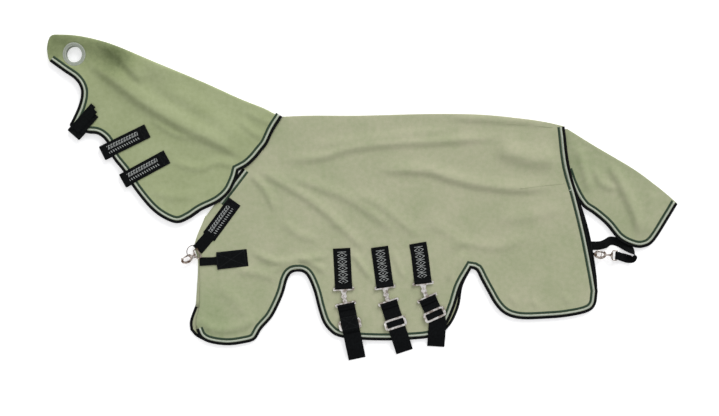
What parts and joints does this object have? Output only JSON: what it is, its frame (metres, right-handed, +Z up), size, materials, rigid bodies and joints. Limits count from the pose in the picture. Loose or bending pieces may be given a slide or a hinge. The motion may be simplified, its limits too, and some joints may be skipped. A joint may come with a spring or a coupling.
{
  "type": "turnout rug",
  "caption": "Pony turnout rug with sewn-on neck cover and tail flap, folded along its spine and laid flat, with belly, chest, throat and tail straps done up.",
  "frame": {"origin": "centre of the bounding box, on the floor that the folded rug lies on", "axes": "+X from the chest to the tail, +Y from the belly to the spine, +Z up from the floor through the folded layers"},
  "size_m": [1.8228, 0.9376, 0.0252],
  "materials": {
    "rug_cloth": "dense woven polyester mesh, matt",
    "neck_cloth": "dense woven polyester mesh, matt",
    "edge_binding": "woven tape, matt",
    "piping": "reflective silver piping, satin",
    "trim_tape": "woven tape, matt",
    "ear_rim": "soft stretch binding, matt",
    "webbing": "ribbed polypropylene webbing, matt",
    "nickel": "nickel-plated wire and castings, polished"
  },
  "bodies": {
    "rug_body": {"belly_eye_1": "nickel", "belly_eye_2": "nickel", "belly_eye_3": "nickel", "belly_strap_under_1": "webbing", "belly_strap_under_2": "webbing", "belly_strap_under_3": "webbing", "belly_tab_1": "webbing", "belly_tab_2": "webbing", "belly_tab_3": "webbing", "body_binding_left": "edge_binding", "body_binding_right": "edge_binding", "body_left": "rug_cloth", "body_piping_left": "piping", "body_right": "rug_cloth", "body_tape_left": "trim_tape", "body_trim_right": "trim_tape", "chest_front_fold": "rug_cloth", "chest_ring": "nickel", "chest_strap_lower": "webbing", "chest_strap_right": "webbing", "chest_tab_upper": "webbing", "spine_seam": "rug_cloth", "tail_ring": "nickel", "tail_ring_tab": "webbing", "tail_snap_eye": "nickel", "tail_strap": "webbing"},
    "belly_strap_1_body": {"belly_hook_1": "nickel", "belly_strap_1": "webbing"},
    "belly_strap_2_body": {"belly_hook_2": "nickel", "belly_strap_2": "webbing"},
    "belly_strap_3_body": {"belly_hook_3": "nickel", "belly_strap_3": "webbing"},
    "belly_slider_1_body": {"belly_slider_1": "nickel"},
    "belly_slider_2_body": {"belly_slider_2": "nickel"},
    "belly_slider_3_body": {"belly_slider_3": "nickel"},
    "chest_snap_gate_body": {"chest_snap_gate": "nickel"},
    "chest_snap_body": {"chest_snap_hook": "nickel"},
    "neck_cover": {"ear_rim_left": "ear_rim", "ear_rim_right": "ear_rim", "neck_binding_left": "edge_binding", "neck_binding_right": "edge_binding", "neck_left": "neck_cloth", "neck_piping_left": "piping", "neck_right": "neck_cloth", "neck_seam": "neck_cloth", "neck_tape_left": "trim_tape", "neck_trim_right": "trim_tape"},
    "tail_flap": {"tail_binding_left": "edge_binding", "tail_binding_right": "edge_binding", "tail_left": "rug_cloth", "tail_piping_left": "piping", "tail_right": "rug_cloth", "tail_seam": "rug_cloth", "tail_tape_left": "trim_tape", "tail_trim_right": "trim_tape"},
    "tail_snap_gate_body": {"tail_snap_gate": "nickel"},
    "tail_snap_body": {"tail_snap_hook": "nickel"},
    "throat_strap_1_body": {"throat_strap_1": "webbing"},
    "throat_strap_2_body": {"throat_strap_2": "webbing"},
    "throat_strap_3_body": {"throat_strap_3": "webbing"}
  },
  "joints": [
    {"name": "neck_cover_fold", "type": "hinge", "parent": "rug_body", "child": "neck_cover", "pos_m": [-0.25666, 0.14745, 0.01623], "axis": [0.6529, 0.7574, 0], "range_deg": [0, 160]},
    {"name": "tail_flap_lift", "type": "hinge", "parent": "rug_body", "child": "tail_flap", "pos_m": [0.60258, 0.10696, 0.00963], "axis": [0.1852, -0.9827, 0], "range_deg": [0, 160]},
    {"name": "belly_strap_1_lift", "type": "hinge", "parent": "rug_body", "child": "belly_strap_1_body", "pos_m": [-0.01642, -0.46354, 0.00178], "axis": [0.979, 0.204, 0], "range_deg": [0, 160]},
    {"name": "belly_slider_1_slide", "type": "slide", "parent": "belly_strap_1_body", "child": "belly_slider_1_body", "axis": [-0.204, 0.979, 0], "range_m": [0, 0.012]},
    {"name": "belly_strap_2_lift", "type": "hinge", "parent": "rug_body", "child": "belly_strap_2_body", "pos_m": [0.12058, -0.44354, 0.00178], "axis": [0.9507, 0.3102, 0], "range_deg": [0, 165]},
    {"name": "belly_slider_2_slide", "type": "slide", "parent": "belly_strap_2_body", "child": "belly_slider_2_body", "axis": [-0.3102, 0.9507, 0], "range_m": [0, 0.012]},
    {"name": "belly_strap_3_lift", "type": "hinge", "parent": "rug_body", "child": "belly_strap_3_body", "pos_m": [0.21258, -0.42854, 0.00178], "axis": [0.9984, -0.0571, 0], "range_deg": [0, 135]},
    {"name": "belly_slider_3_slide", "type": "slide", "parent": "belly_strap_3_body", "child": "belly_slider_3_body", "axis": [-0.4096, 0.9123, 0], "range_m": [0, 0.012]},
    {"name": "throat_strap_1_peel", "type": "hinge", "parent": "neck_cover", "child": "throat_strap_1_body", "pos_m": [-0.83542, 0.17934, 0.01193], "axis": [0.7468, -0.6651, 0], "range_deg": [0, 150]},
    {"name": "throat_strap_2_peel", "type": "hinge", "parent": "neck_cover", "child": "throat_strap_2_body", "pos_m": [-0.75177, 0.12579, 0.01193], "axis": [0.4418, -0.8971, 0], "range_deg": [0, 150]},
    {"name": "throat_strap_3_peel", "type": "hinge", "parent": "neck_cover", "child": "throat_strap_3_body", "pos_m": [-0.69274, 0.04574, 0.01193], "axis": [0.4779, -0.8784, 0], "range_deg": [0, 150]},
    {"name": "chest_snap_swing", "type": "hinge", "parent": "rug_body", "child": "chest_snap_body", "pos_m": [-0.47142, -0.16154, 0.01299], "axis": [0, 0, 1], "range_deg": [-15, 20]},
    {"name": "chest_snap_gate_turn", "type": "hinge", "parent": "chest_snap_body", "child": "chest_snap_gate_body", "pos_m": [-0.50399, -0.16948, 0.01299], "axis": [0, 0, 1], "range_deg": [0, 20], "stiffness_Nm_per_rad": 0.02},
    {"name": "tail_snap_swivel", "type": "hinge", "parent": "rug_body", "child": "tail_snap_body", "pos_m": [0.71662, -0.16841, 0.01469], "axis": [-0.9978, 0.0665, 0], "range_deg": [0, 15]},
    {"name": "tail_snap_gate_turn", "type": "hinge", "parent": "tail_snap_body", "child": "tail_snap_gate_body", "pos_m": [0.69349, -0.15939, 0.01469], "axis": [0, 0, 1], "range_deg": [0, 20], "stiffness_Nm_per_rad": 0.02}
  ]
}
